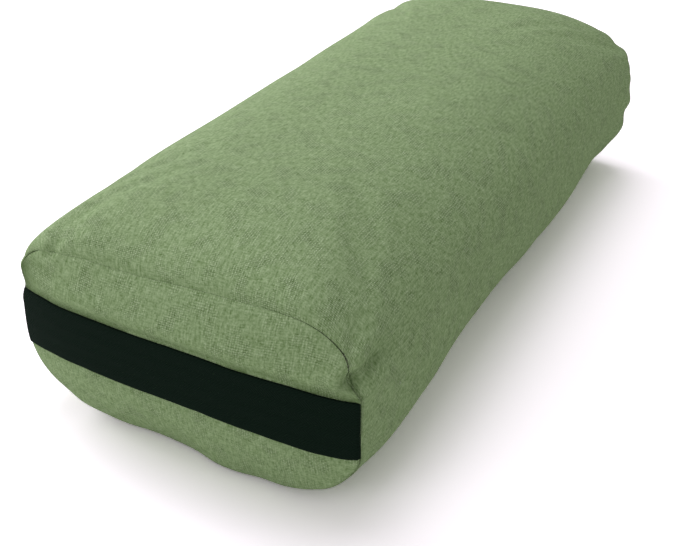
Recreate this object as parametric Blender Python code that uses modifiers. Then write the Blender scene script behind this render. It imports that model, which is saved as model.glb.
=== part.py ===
# A firm, rectangular yoga bolster: a foam core wrapped in batting, in a sewn liner, in a zipped canvas
# cover with a webbing handle across its front end.
# X runs across the cushion, Y along it (the handle is at -Y), Z up. The origin is the middle of the
# underside. Sizes are in metres.

import math

import bmesh
import bpy

# The stuffed cushion, over its cover
LENGTH = 0.640
WIDTH = 0.281
CROWN_HEIGHT = 0.175
WIDEST_HEIGHT = 0.0967
END_BULGE = 0.0163
FLOOR_FLAT = 0.0005  # how deep the round underside is pressed flat

# Its two end seams, which draw the cushion in
SEAM_TOP = 0.147
SEAM_BOTTOM = 0.003
SEAM_DRAW_IN = 0.002
SEAM_GAP = 0.0004  # between the edges of the two panels
CROWN_RUN = 0.085  # from a seam to where the crown has its full height

# How square the section's corners are: 2 is an ellipse, more is squarer
SEAM_SQUARE_TOP = 3.2
SEAM_SQUARE_BOTTOM = 3.9
CROWN_SQUARE_TOP = 2.7
CROWN_SQUARE_BOTTOM = 3.45
END_DOME_POWER = 3  # more keeps an end flatter in the middle

# The layers, from the outside in
CANVAS = 0.0012
LINER = 0.0008
BATTING = 0.018
LAYER_GAP = 0.0003
BATTING_TRIM = 0.0012  # cut off the ends of the wrap, so that they clear the end pads
THREAD_RADIUS = 0.0005
THREAD_LIFT = 0.0009  # from the seam's edge out to the middle of its thread

# The handle, sewn in at both sides of the front seam
HANDLE_WIDTH = 0.0464
HANDLE_MIDDLE = 0.0759
HANDLE_THICKNESS = 0.002
HANDLE_REACH = 0.995  # of the way from the middle to the seam

# The zip, along the middle of the -X side
ZIP_OPENING = 0.0084
ZIP_END_SHUT = 0.012  # nearer than this to a seam, the opening is sewn shut
ZIP_SPLIT = 0.0014  # between the two tapes
TAPE_WIDTH = 0.013
TAPE_THICKNESS = 0.0006
TAPE_END_INSET = 0.006
COIL_WIDTH = 0.0023
COIL_THICKNESS = 0.0016
COIL_END_INSET = 0.022
FLAT_BEYOND_TAPE = 0.002  # how far past its tapes the zip holds the canvas flat
FLAT_SHARE = 0.8  # the most of the way to the section's next point that the flat may take
STITCH_FROM_EDGE = 0.003
STOP_LENGTH = 0.0022
STOP_THICKNESS = 0.0018
STOP_BEVEL = 0.0003
RUN_GAP = 0.0003  # between the slider and what it runs on

# The slider and its pull
SLIDER_LENGTH = 0.0104
SLIDER_PLATE = 0.001
SLIDER_BACK_PLATE = 0.0007
SLIDER_CORNER = 0.0016
SLIDER_FLANGE = 0.0006
SLIDER_FLANGE_SET_IN = 0.0001
SLIDER_WEB_LENGTH = 0.004
SLIDER_JOIN = 0.00025  # how deep the slider's pieces run into its plates
ARCH_LENGTH = 0.0072
ARCH_WIDTH = 0.0016
ARCH_WALL = 0.001
ARCH_ROUNDING = 0.0006
PULL_LENGTH = 0.024
PULL_WIDTH = 0.0066
PULL_THICKNESS = 0.0012
PULL_CORNER = 0.0022
PULL_EYE_RAIL = 0.0015
PULL_TURN_GAP = 0.0006

# Fineness of the curved forms
SIDES = 36
CROWN_STEPS = 5
INNER_CROWN_STEP = 2  # the one step of the crown's rise that the inner layers keep
DOME_STEPS = 6
HANDLE_LONG_STEPS = 26
HANDLE_CROSS_STEPS = 3
BAR_SIDES = 12
THREAD_SIDES = 8
BEVEL_STEPS = 3
SMOOTH_UNDER = 40  # degrees between faces

half_width = WIDTH / 2
seam_half_width = half_width - SEAM_DRAW_IN
seam_y = LENGTH / 2 - END_BULGE
wall_x = -half_width
zip_z = WIDEST_HEIGHT

# Depths under the canvas's face
canvas_back = CANVAS
liner_face = canvas_back + LAYER_GAP
liner_back = liner_face + LINER
batting_face = liner_back + LAYER_GAP
batting_back = batting_face + BATTING
core_face = batting_back + LAYER_GAP
tape_face = canvas_back + LAYER_GAP
tape_back = tape_face + TAPE_THICKNESS
coil_back = tape_face - LAYER_GAP
coil_face = coil_back - COIL_THICKNESS
slider_plate_back = min(coil_face, 0) - RUN_GAP
slider_plate_face = slider_plate_back - SLIDER_PLATE
slider_back_face = tape_back + RUN_GAP
slider_back_back = slider_back_face + SLIDER_BACK_PLATE
pull_axis_depth = slider_plate_face - PULL_THICKNESS / 2 - PULL_TURN_GAP
arch_face = pull_axis_depth - PULL_THICKNESS / 2 - PULL_TURN_GAP - ARCH_WALL
zip_recess = max(slider_back_back + RUN_GAP - liner_face, SEAM_DRAW_IN)
zip_flat = ZIP_SPLIT / 2 + TAPE_WIDTH + FLAT_BEYOND_TAPE

for old in list(bpy.data.objects):
    bpy.data.objects.remove(old, do_unlink=True)

parts = bpy.data.collections.new("yoga_bolster")
cutters = bpy.data.collections.new("cutters")
bpy.context.scene.collection.children.link(parts)
bpy.context.scene.collection.children.link(cutters)


def material(name, colour, roughness, metallic=0.0):
    made = bpy.data.materials.new(name)
    made.use_nodes = True
    shader = made.node_tree.nodes["Principled BSDF"]
    shader.inputs["Base Color"].default_value = (*colour, 1)
    shader.inputs["Roughness"].default_value = roughness
    shader.inputs["Metallic"].default_value = metallic
    return made


canvas_green = material("sage_canvas", (0.23, 0.30, 0.16), 0.9)
canvas_green_ends = material("sage_canvas_ends", (0.19, 0.26, 0.13), 0.9)
webbing_black = material("black_webbing", (0.012, 0.014, 0.013), 0.75)
thread_green = material("green_thread", (0.10, 0.14, 0.07), 0.8)
tape_green = material("green_zip_tape", (0.12, 0.17, 0.09), 0.85)
coil_green = material("green_zip_coil", (0.09, 0.13, 0.07), 0.45)
zip_metal = material("dark_zip_metal", (0.20, 0.20, 0.19), 0.35, 1.0)
liner_cotton = material("natural_cotton", (0.72, 0.68, 0.58), 0.95)
batting_cotton = material("cotton_batting", (0.84, 0.82, 0.76), 1.0)
core_foam = material("core_foam", (0.80, 0.76, 0.55), 0.95)


def finish(name, bm, finish_material, collection=parts):
    bmesh.ops.recalc_face_normals(bm, faces=bm.faces)
    mesh = bpy.data.meshes.new(name)
    bm.to_mesh(mesh)
    bm.free()
    made = bpy.data.objects.new(name, mesh)
    collection.objects.link(made)
    if finish_material:
        mesh.materials.append(finish_material)
    mesh.shade_smooth()
    mesh.set_sharp_from_angle(angle=math.radians(SMOOTH_UNDER))
    return made


# A flat sheet of columns by rows, bent so that each of its points lies where rows gives it.
# Points that meet are merged, which closes a sheet that runs right round, and its poles. What is
# still open is the cut edge of a sheet that has a thickness, and is filled.
def bent_sheet(name, rows, finish_material, fill_cuts=False):
    columns = len(rows[0])
    bm = bmesh.new()
    bmesh.ops.create_grid(bm, x_segments=columns - 1, y_segments=len(rows) - 1, size=1)
    bm.verts.ensure_lookup_table()
    for index, vertex in enumerate(bm.verts):
        vertex.co = rows[index // columns][index % columns]
    bmesh.ops.remove_doubles(bm, verts=bm.verts, dist=1e-6)
    if fill_cuts:
        cut_edges = [edge for edge in bm.edges if edge.is_boundary]
        bmesh.ops.holes_fill(bm, edges=cut_edges, sides=0)
    bmesh.ops.triangulate(bm, faces=bm.faces, quad_method="SHORT_EDGE")
    return finish(name, bm, finish_material)


# A box between two corners. rounded_along is the axis (0 to 2) whose edges are rounded, or None for all.
def block(name, low, high, finish_material=None, rounding=0.0, rounded_along=None, collection=parts):
    bm = bmesh.new()
    bmesh.ops.create_cube(bm, size=1)
    size = [top - bottom for bottom, top in zip(low, high)]
    middle = [(top + bottom) / 2 for bottom, top in zip(low, high)]
    bmesh.ops.scale(bm, vec=size, verts=bm.verts)
    if rounding:
        chosen = list(bm.edges)
        if rounded_along is not None:
            chosen = [
                edge
                for edge in bm.edges
                if edge.verts[0].co[rounded_along] != edge.verts[1].co[rounded_along]
            ]
        bmesh.ops.bevel(
            bm, geom=chosen, offset=rounding, segments=BEVEL_STEPS, profile=0.5, affect="EDGES"
        )
    bmesh.ops.translate(bm, vec=middle, verts=bm.verts)
    return finish(name, bm, finish_material, collection)


def bar_along_y(name, radius_x, radius_z, centre, half_length, finish_material, sides=BAR_SIDES):
    bm = bmesh.new()
    bmesh.ops.create_cone(
        bm, cap_ends=True, segments=sides, radius1=1, radius2=1, depth=2 * half_length
    )
    for vertex in bm.verts:
        across, up, along = vertex.co
        vertex.co = (centre[0] + across * radius_x, centre[1] + along, centre[2] + up * radius_z)
    return finish(name, bm, finish_material)


def boolean(target, other, operation):
    other.hide_render = True
    other.display_type = "WIRE"
    modifier = target.modifiers.new(other.name, "BOOLEAN")
    modifier.object = other
    modifier.operation = operation
    modifier.solver = "EXACT"


def between(start, end, share):
    return start + (end - start) * share


# A point of a squared ellipse of radius 1
def square_point(angle, square):
    across = math.copysign(abs(math.cos(angle)) ** (2 / square), math.cos(angle))
    up = math.copysign(abs(math.sin(angle)) ** (2 / square), math.sin(angle))
    return across, up


# The crown rises from each seam in a quarter round, taken in equal turns
def crown_inset(step):
    return CROWN_RUN * (1 - math.cos(math.pi / 2 * step / CROWN_STEPS))


# The section at an inset from the end seams and a depth under the canvas, as (x, z) for each column.
# It starts at the zip's upper edge, goes over the top, down the right side and back underneath to the
# zip's lower edge. The layers inside are set back behind the zip.
def section(inset, depth):
    run = min(inset / CROWN_RUN, 1)
    crown = math.sqrt(1 - (1 - run) ** 2)
    drawn_in = SEAM_DRAW_IN * (1 - min(inset / crown_inset(1), 1))
    half = half_width - depth - drawn_in
    top = between(SEAM_TOP, CROWN_HEIGHT, crown) - WIDEST_HEIGHT - depth
    bottom = WIDEST_HEIGHT - between(SEAM_BOTTOM, -FLOOR_FLAT, crown) - depth
    square_top = between(SEAM_SQUARE_TOP, CROWN_SQUARE_TOP, crown)
    square_bottom = between(SEAM_SQUARE_BOTTOM, CROWN_SQUARE_BOTTOM, crown)
    points = []
    for step in range(1, SIDES):
        angle = math.pi - 2 * math.pi * step / SIDES
        above = math.sin(angle) > 0
        across, up = square_point(angle, square_top if above else square_bottom)
        points.append((half * across, up * (top if above else bottom)))
    flat_top = min(zip_flat, FLAT_SHARE * points[0][1])
    flat_bottom = max(-zip_flat, FLAT_SHARE * points[-1][1])
    opening = LAYER_GAP if inset < ZIP_END_SHUT else ZIP_OPENING
    edge = min(opening / 2, FLAT_SHARE * flat_top)
    points = [(-half, edge), (-half, flat_top), *points, (-half, flat_bottom), (-half, -edge)]
    least_x = -half_width + depth + (zip_recess if depth >= liner_face else 0)
    return [(max(x, least_x), max(WIDEST_HEIGHT + z, depth)) for x, z in points]


def tube_row(inset, depth, side, trim):
    y = (seam_y - inset) * (1 - depth / seam_y)
    if inset == 0:
        y -= trim
    return [(x, side * y, z) for x, z in section(inset, depth)]


# A layer's rows from seam to seam. Its two ends are trimmed back where it is thick.
def tube_rows(depth, fine, trim=0.0):
    if fine:
        insets = [crown_inset(step) for step in range(CROWN_STEPS + 1)]
        insets.append(between(CROWN_RUN, seam_y, 0.5))
    else:
        insets = [crown_inset(step) for step in (0, INNER_CROWN_STEP, CROWN_STEPS)]
    rows = [tube_row(inset, depth, -1, trim) for inset in insets]
    rows.append(tube_row(seam_y, depth, -1, trim))
    rows += [tube_row(inset, depth, 1, trim) for inset in reversed(insets)]
    return rows


# How far out an end bulges, by the share of the way from its middle to the seam
def dome_y(share):
    return seam_y + SEAM_GAP + (END_BULGE - SEAM_GAP) * (1 - share**END_DOME_POWER)


# An end's rows, from its middle out to the seam
def dome_rows(depth, side, fine):
    rim = section(0, depth)
    rows = []
    for step in range(0, DOME_STEPS + 1, 1 if fine else 2):
        share = math.sin(math.pi / 2 * step / DOME_STEPS)
        y = side * (dome_y(share) - depth)
        rows.append([(x * share, y, between(WIDEST_HEIGHT, z, share)) for x, z in rim])
    return rows


def ringed(rows):
    return [row + row[:1] for row in rows]


# The rows of a sheet's face and back, joined at both ends
def two_faces(face, back, fine, trim=0.0):
    rows = tube_rows(face, fine, trim) + tube_rows(back, fine, trim)[::-1]
    return rows + rows[:1]


def tube_layer(name, face, back, finish_material, trim=0.0):
    return bent_sheet(name, ringed(two_faces(face, back, False, trim)), finish_material)


def dome_layer(name, side, face, back, finish_material, fine=False):
    rows = dome_rows(face, side, fine) + dome_rows(back, side, fine)[::-1]
    return bent_sheet(name, ringed(rows), finish_material)


# Cover. Its body panel is one sheet, whose two long edges meet at the zip.
bent_sheet("cover_body_panel", two_faces(0, canvas_back, True), canvas_green, fill_cuts=True)
dome_layer("cover_front_panel", -1, 0, canvas_back, canvas_green_ends, fine=True)
dome_layer("cover_rear_panel", 1, 0, canvas_back, canvas_green_ends, fine=True)


# The thread of an end seam lies in the groove between the body panel and the end panel
def seam_thread(name, side):
    curve = bpy.data.curves.new(name, "CURVE")
    curve.dimensions = "3D"
    curve.bevel_depth = THREAD_RADIUS
    curve.bevel_resolution = 1
    ring = section(0, 0)
    spline = curve.splines.new("POLY")
    spline.points.add(len(ring) - 1)
    spline.use_cyclic_u = True
    for index, (x, z) in enumerate(ring):
        before = ring[index - 1]
        after = ring[(index + 1) % len(ring)]
        out_x = before[1] - after[1]
        out_z = after[0] - before[0]
        lift = THREAD_LIFT / math.hypot(out_x, out_z)
        spline.points[index].co = (x + out_x * lift, side * (seam_y + THREAD_RADIUS), z + out_z * lift, 1)
    made = bpy.data.objects.new(name, curve)
    parts.objects.link(made)
    curve.materials.append(thread_green)
    return made


seam_thread("front_seam_thread", -1)
seam_thread("rear_seam_thread", 1)


# How square the end seam is and how far it goes, above or below its widest height
def seam_quarter(up):
    if up > 0:
        return SEAM_SQUARE_TOP, SEAM_TOP - WIDEST_HEIGHT
    return SEAM_SQUARE_BOTTOM, WIDEST_HEIGHT - SEAM_BOTTOM


# The share of the way from the middle of an end to its seam
def end_share(x, z):
    up = z - WIDEST_HEIGHT
    square, rise = seam_quarter(up)
    return (abs(x / seam_half_width) ** square + abs(up / rise) ** square) ** (1 / square)


def seam_x(z):
    up = z - WIDEST_HEIGHT
    square, rise = seam_quarter(up)
    return seam_half_width * (1 - abs(up / rise) ** square) ** (1 / square)


# Handle: webbing that lies on the front panel and follows its bulge
def handle_rows():
    rows = []
    for level in range(HANDLE_CROSS_STEPS + 1):
        z = HANDLE_MIDDLE + HANDLE_WIDTH * (level / HANDLE_CROSS_STEPS - 0.5)
        row = []
        for step in range(HANDLE_LONG_STEPS + 1):
            turn = math.pi * (step / HANDLE_LONG_STEPS - 0.5)
            x = seam_x(z) * HANDLE_REACH * math.sin(turn)
            row.append((x, -dome_y(end_share(x, z)) - LAYER_GAP, z))
        rows.append(row)
    return rows


handle = bent_sheet("carry_handle", handle_rows(), webbing_black)
webbing = handle.modifiers.new("webbing", "SOLIDIFY")
webbing.thickness = HANDLE_THICKNESS
webbing.offset = 1
webbing.use_even_offset = True

# Zip: tapes behind the canvas, coils on the tapes, and a row of stitches beside the opening
tape_half_length = seam_y - TAPE_END_INSET
coil_half_length = seam_y - COIL_END_INSET
stop_face = coil_back - STOP_THICKNESS
stop_start = coil_half_length + RUN_GAP
for half_name, up in (("upper", 1), ("lower", -1)):
    split_z = zip_z + up * ZIP_SPLIT / 2
    tape_z = sorted((split_z, split_z + up * TAPE_WIDTH))
    block(
        f"zipper_tape_{half_name}",
        (wall_x + tape_face, -tape_half_length, tape_z[0]),
        (wall_x + tape_back, tape_half_length, tape_z[1]),
        tape_green,
    )
    bar_along_y(
        f"zipper_coil_{half_name}",
        COIL_THICKNESS / 2,
        COIL_WIDTH / 2,
        (wall_x + (coil_face + coil_back) / 2, 0, split_z + up * COIL_WIDTH / 2),
        coil_half_length,
        coil_green,
    )
    bar_along_y(
        f"zipper_stitch_{half_name}",
        THREAD_RADIUS,
        THREAD_RADIUS,
        (wall_x - LAYER_GAP - THREAD_RADIUS, 0, zip_z + up * (ZIP_OPENING / 2 + STITCH_FROM_EDGE)),
        tape_half_length,
        thread_green,
        sides=THREAD_SIDES,
    )
    stop_z = sorted((split_z, split_z + up * COIL_WIDTH))
    block(
        f"zipper_top_stop_{half_name}",
        (wall_x + stop_face, stop_start, stop_z[0]),
        (wall_x + coil_back, stop_start + STOP_LENGTH, stop_z[1]),
        zip_metal,
        rounding=STOP_BEVEL,
    )
coils_half_height = ZIP_SPLIT / 2 + COIL_WIDTH
block(
    "zipper_bottom_stop",
    (wall_x + stop_face, -stop_start - STOP_LENGTH, zip_z - coils_half_height),
    (wall_x + coil_back, -stop_start, zip_z + coils_half_height),
    zip_metal,
    rounding=STOP_BEVEL,
)

# Slider: two plates joined by a web that runs in the split, with an arch for the pull.
# At rest it stands at the closed end, against the top stops.
slider_y = coil_half_length - RUN_GAP - SLIDER_LENGTH / 2
slider_half_height = ZIP_OPENING / 2 - RUN_GAP
slider_place = bpy.data.objects.new("zipper_slider_place", None)
parts.objects.link(slider_place)
slider_place.location = (wall_x, slider_y, zip_z)


# A box on the slider, from its depths, its half length and its range of heights
def slider_block(name, depths, half_y, heights, rounding=0.0, rounded_along=0, collection=cutters):
    made = block(
        name,
        (depths[0], -half_y, heights[0]),
        (depths[1], half_y, heights[1]),
        zip_metal,
        rounding=rounding,
        rounded_along=rounded_along,
        collection=collection,
    )
    made.parent = slider_place
    return made


slider = slider_block(
    "zipper_slider",
    (slider_plate_face, slider_plate_back),
    SLIDER_LENGTH / 2,
    (-slider_half_height, slider_half_height),
    rounding=SLIDER_CORNER,
    collection=parts,
)
back_plate = slider_block(
    "slider_back_plate",
    (slider_back_face, slider_back_back),
    SLIDER_LENGTH / 2,
    (-slider_half_height, slider_half_height),
    rounding=SLIDER_CORNER,
)
web = slider_block(
    "slider_web",
    (slider_plate_back - SLIDER_JOIN, slider_back_face + SLIDER_JOIN),
    SLIDER_WEB_LENGTH / 2,
    (-ZIP_SPLIT / 2 + RUN_GAP, ZIP_SPLIT / 2 - RUN_GAP),
)
arch = slider_block(
    "slider_arch",
    (arch_face, slider_plate_back - SLIDER_JOIN),
    ARCH_LENGTH / 2,
    (-ARCH_WIDTH / 2, ARCH_WIDTH / 2),
    rounding=ARCH_ROUNDING,
    rounded_along=2,
)
for piece in (back_plate, web, arch):
    boolean(slider, piece, "UNION")
flange_outer = slider_half_height - SLIDER_FLANGE_SET_IN
flange_inner = flange_outer - SLIDER_FLANGE
for flange_name, heights in (
    ("slider_upper_flange", (flange_inner, flange_outer)),
    ("slider_lower_flange", (-flange_outer, -flange_inner)),
):
    flange = slider_block(
        flange_name,
        (slider_plate_back - SLIDER_JOIN, tape_face - RUN_GAP),
        SLIDER_LENGTH / 2 - SLIDER_CORNER,
        heights,
    )
    boolean(slider, flange, "UNION")
arch_hole = slider_block(
    "slider_arch_hole",
    (arch_face + ARCH_WALL, slider_plate_face),
    ARCH_LENGTH / 2 - ARCH_WALL,
    (-ARCH_WIDTH, ARCH_WIDTH),
)
boolean(slider, arch_hole, "DIFFERENCE")

# Pull: a flat tab whose end bar lies under the slider's arch. Its origin is on that bar's axis.
pull_axis = bpy.data.objects.new("zipper_pull_axis", None)
parts.objects.link(pull_axis)
pull_axis.parent = slider_place
pull_axis.location = (pull_axis_depth, 0, 0)
pull = block(
    "zipper_pull",
    (-PULL_THICKNESS / 2, -PULL_LENGTH, -PULL_WIDTH / 2),
    (PULL_THICKNESS / 2, PULL_THICKNESS / 2, PULL_WIDTH / 2),
    zip_metal,
    rounding=PULL_CORNER,
    rounded_along=0,
)
pull.parent = pull_axis
eye_length = math.hypot(ARCH_LENGTH / 2, pull_axis_depth - arch_face) + PULL_TURN_GAP
eye_half_height = PULL_WIDTH / 2 - PULL_EYE_RAIL
eye = block(
    "pull_eye",
    (-PULL_THICKNESS, -eye_length, -eye_half_height),
    (PULL_THICKNESS, -PULL_THICKNESS / 2, eye_half_height),
    collection=cutters,
)
eye.parent = pull_axis
boolean(pull, eye, "DIFFERENCE")

# Liner, batting and core
tube_layer("liner_body_panel", liner_face, liner_back, liner_cotton)
dome_layer("liner_front_panel", -1, liner_face, liner_back, liner_cotton)
dome_layer("liner_rear_panel", 1, liner_face, liner_back, liner_cotton)
tube_layer("batting_wrap", batting_face, batting_back, batting_cotton, BATTING_TRIM)
dome_layer("batting_front_pad", -1, batting_face, batting_back, batting_cotton)
dome_layer("batting_rear_pad", 1, batting_face, batting_back, batting_cotton)
core_rows = dome_rows(core_face, -1, False)[:-1]
core_rows += tube_rows(core_face, False, BATTING_TRIM)
core_rows += dome_rows(core_face, 1, False)[-2::-1]
bent_sheet("foam_core", ringed(core_rows), core_foam)

print("zip travel", round(2 * coil_half_length - SLIDER_LENGTH - 2 * RUN_GAP, 5))
print("slider at", [round(value, 5) for value in (wall_x, slider_y, zip_z)])
print("pull axis at", [round(value, 5) for value in (wall_x + pull_axis_depth, slider_y, zip_z)])
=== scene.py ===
import math

import bmesh
import bpy
import numpy as np
from mathutils import Matrix, Vector, noise


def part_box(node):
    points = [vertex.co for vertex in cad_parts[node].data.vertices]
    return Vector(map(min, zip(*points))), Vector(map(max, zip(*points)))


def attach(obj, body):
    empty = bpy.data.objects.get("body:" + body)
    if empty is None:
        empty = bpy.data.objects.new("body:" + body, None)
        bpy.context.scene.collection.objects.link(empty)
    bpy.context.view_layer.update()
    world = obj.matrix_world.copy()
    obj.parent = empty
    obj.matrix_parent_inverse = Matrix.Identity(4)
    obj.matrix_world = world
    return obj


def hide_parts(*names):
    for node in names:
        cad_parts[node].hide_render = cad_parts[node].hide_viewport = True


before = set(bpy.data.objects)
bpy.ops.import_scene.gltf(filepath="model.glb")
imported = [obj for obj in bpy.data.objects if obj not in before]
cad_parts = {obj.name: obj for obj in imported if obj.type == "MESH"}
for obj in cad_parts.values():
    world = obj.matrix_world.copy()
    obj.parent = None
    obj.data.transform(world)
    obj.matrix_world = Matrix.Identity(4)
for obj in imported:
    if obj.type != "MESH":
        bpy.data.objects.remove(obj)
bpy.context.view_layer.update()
scene = bpy.context.scene
scene.view_settings.view_transform = "Standard"
print("frame loaded")


def addObject(name, data):
    made = bpy.data.objects.new(name, data)
    scene.collection.objects.link(made)
    return made


def meshObject(name, bm):
    mesh = bpy.data.meshes.new(name)
    bm.to_mesh(mesh)
    bm.free()
    return addObject(name, mesh)


# Camera

lens = dict(
    focal=54.30, sensorWidth=36, clipStart=0.01, azimuth=28.777, elevation=32.019, roll=-0.321,
    distance=0.9205, target=(-0.0136, -0.0544, 0.0106),
)


def makeCamera():
    azimuth, elevation, roll = (math.radians(lens[key]) for key in ("azimuth", "elevation", "roll"))
    flat = math.cos(elevation)
    back = Vector((math.sin(azimuth) * flat, -math.cos(azimuth) * flat, math.sin(elevation)))
    level = Vector((math.cos(azimuth), math.sin(azimuth), 0))
    upright = back.cross(level)
    right = level * math.cos(roll) + upright * math.sin(roll)
    up = upright * math.cos(roll) - level * math.sin(roll)
    data = bpy.data.cameras.new("photoCamera")
    data.lens = lens["focal"]
    data.sensor_width = lens["sensorWidth"]
    data.clip_start = lens["clipStart"]
    made = addObject("photoCamera", data)
    place = Vector(lens["target"]) + back * lens["distance"]
    made.matrix_world = Matrix.Translation(place) @ Matrix((right, up, back)).transposed().to_4x4()
    scene.camera = made


makeCamera()


# Studio: a white floor that keeps the shadow, a white sky and three soft lamps

studio = dict(
    floorColour=(0.91, 0.92, 0.87, 1), floorSeen=(0.69, 0.57, 0.78, 1), floorSize=6, floorDrop=0.0003,
    skyColour=(0.97, 1.0, 0.91, 1), skyStrength=0.44, skySeen=(1, 1, 1, 1), lampColour=(1.0, 0.985, 1.01),
)
lamps = {
    "highLamp": {"place": (-0.4, 0.4, 2.3), "size": 1.5, "power": 20.0},
    "leftLamp": {"place": (-2.35, 0.25, 0.92), "size": 1.4, "power": 38.0},
    "frontLamp": {"place": (-0.9, -2.2, 0.8), "size": 1.4, "power": 10.0},
}


def addNode(tree, kind, inputs=None, **settings):
    made = tree.nodes.new("ShaderNode" + kind)
    for name, value in settings.items():
        setattr(made, name, value)
    for key, value in (inputs or {}).items():
        if isinstance(value, bpy.types.NodeSocket):
            tree.links.new(value, made.inputs[key])
        else:
            made.inputs[key].default_value = value
    return made


def calc(tree, operation, first, second=0.0, clamp=False):
    return addNode(tree, "Math", {0: first, 1: second}, operation=operation, use_clamp=clamp).outputs[0]


def seenDirectly(tree):
    path = addNode(tree, "LightPath")
    seen = calc(tree, "MAXIMUM", path.outputs["Is Camera Ray"], path.outputs["Is Glossy Ray"])
    return calc(tree, "MAXIMUM", seen, path.outputs["Is Transmission Ray"])


def makeSky():
    world = bpy.data.worlds.new("studioSky")
    scene.world = world
    world.use_nodes = True
    tree = world.node_tree
    tree.nodes.clear()
    light = addNode(tree, "Background", {"Color": studio["skyColour"], "Strength": studio["skyStrength"]})
    white = addNode(tree, "Background", {"Color": studio["skySeen"]})
    mix = addNode(tree, "MixShader", {0: seenDirectly(tree), 1: light.outputs[0], 2: white.outputs[0]})
    addNode(tree, "OutputWorld", {0: mix.outputs[0]})


def makeFloor():
    floorPaper = bpy.data.materials.new("floorPaper")
    floorPaper.use_nodes = True
    tree = floorPaper.node_tree
    tree.nodes.clear()
    paper = addNode(tree, "BsdfDiffuse", {"Color": studio["floorColour"]})
    bright = addNode(tree, "BsdfDiffuse", {"Color": studio["floorSeen"]})
    seen = addNode(tree, "AddShader", {0: paper.outputs[0], 1: bright.outputs[0]})
    mix = addNode(tree, "MixShader", {0: seenDirectly(tree), 1: paper.outputs[0], 2: seen.outputs[0]})
    addNode(tree, "OutputMaterial", {0: mix.outputs[0]})
    bm = bmesh.new()
    bmesh.ops.create_grid(bm, x_segments=1, y_segments=1, size=studio["floorSize"])
    bmesh.ops.translate(bm, verts=bm.verts, vec=(0, 0, -studio["floorDrop"]))
    floor = meshObject("studioFloor", bm)
    floor.data.materials.append(floorPaper)


def makeLamps():
    for name, lamp in lamps.items():
        light = bpy.data.lights.new(name, "AREA")
        light.color = studio["lampColour"]
        light.size = lamp["size"]
        light.energy = lamp["power"]
        lampObject = addObject(name, light)
        lampObject.location = lamp["place"]
        lampObject.rotation_euler = Vector(lamp["place"]).to_track_quat("Z", "Y").to_euler()


makeSky()
makeFloor()
makeLamps()
print("camera and studio set")


# Materials. Cloths read the UV map "weave", in metres along the threads, the rest Object coordinates.

def newMaterial(look, uvMap=""):
    made = bpy.data.materials.new(look["name"])
    made.use_nodes = True
    tree = made.node_tree
    shader = tree.nodes["Principled BSDF"]
    shader.inputs["Roughness"].default_value = look["roughness"]
    shader.inputs["Metallic"].default_value = look.get("metallic", 0)
    shader.inputs["Specular IOR Level"].default_value = look["shine"]
    shader.inputs["Sheen Weight"].default_value = look.get("sheen", 0)
    if uvMap:
        place = addNode(tree, "UVMap", uv_map=uvMap).outputs[0]
    else:
        place = addNode(tree, "TexCoord").outputs["Object"]
    return made, tree, shader, place


def blendColours(tree, share, first, second):
    return addNode(tree, "Mix", {"Factor": share, "A": first, "B": second}, data_type="RGBA").outputs[2]


def setColour(tree, shader, look, share):
    colour = blendColours(tree, share, look["dark"], look["light"])
    # Painted shade: a point attribute darkens the colour towards the painted-shade colour
    if "paintedShadeColour" in look:
        paintedShade = addNode(tree, "Attribute", attribute_name="paintedShade").outputs["Fac"]
        colour = blendColours(tree, paintedShade, colour, look["paintedShadeColour"])
    tree.links.new(colour, shader.inputs["Base Color"])


def setBump(tree, shader, look, height):
    inputs = {"Height": height, "Strength": look["bump"], "Distance": look["bumpDepth"]}
    tree.links.new(addNode(tree, "Bump", inputs).outputs[0], shader.inputs["Normal"])


def grain(tree, place, scale, detail=2.0, rough=0.5):
    inputs = {"Vector": place, "Scale": scale, "Detail": detail, "Roughness": rough}
    return addNode(tree, "TexNoise", inputs).outputs["Fac"]


def stretched(tree, place, scale):
    return addNode(tree, "Mapping", {"Vector": place, "Scale": scale}).outputs[0]


def times(tree, first, second):
    return calc(tree, "MULTIPLY", first, second)


def centred(tree, value, share):
    return times(tree, calc(tree, "SUBTRACT", value, 0.5), share)


def addUp(tree, *parts):
    total = parts[0]
    for part in parts[1:]:
        total = calc(tree, "ADD", total, part)
    return total


def mixedShare(tree, first, second, firstShare):
    return addUp(tree, times(tree, first, firstShare), times(tree, second, 1 - firstShare))


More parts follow.
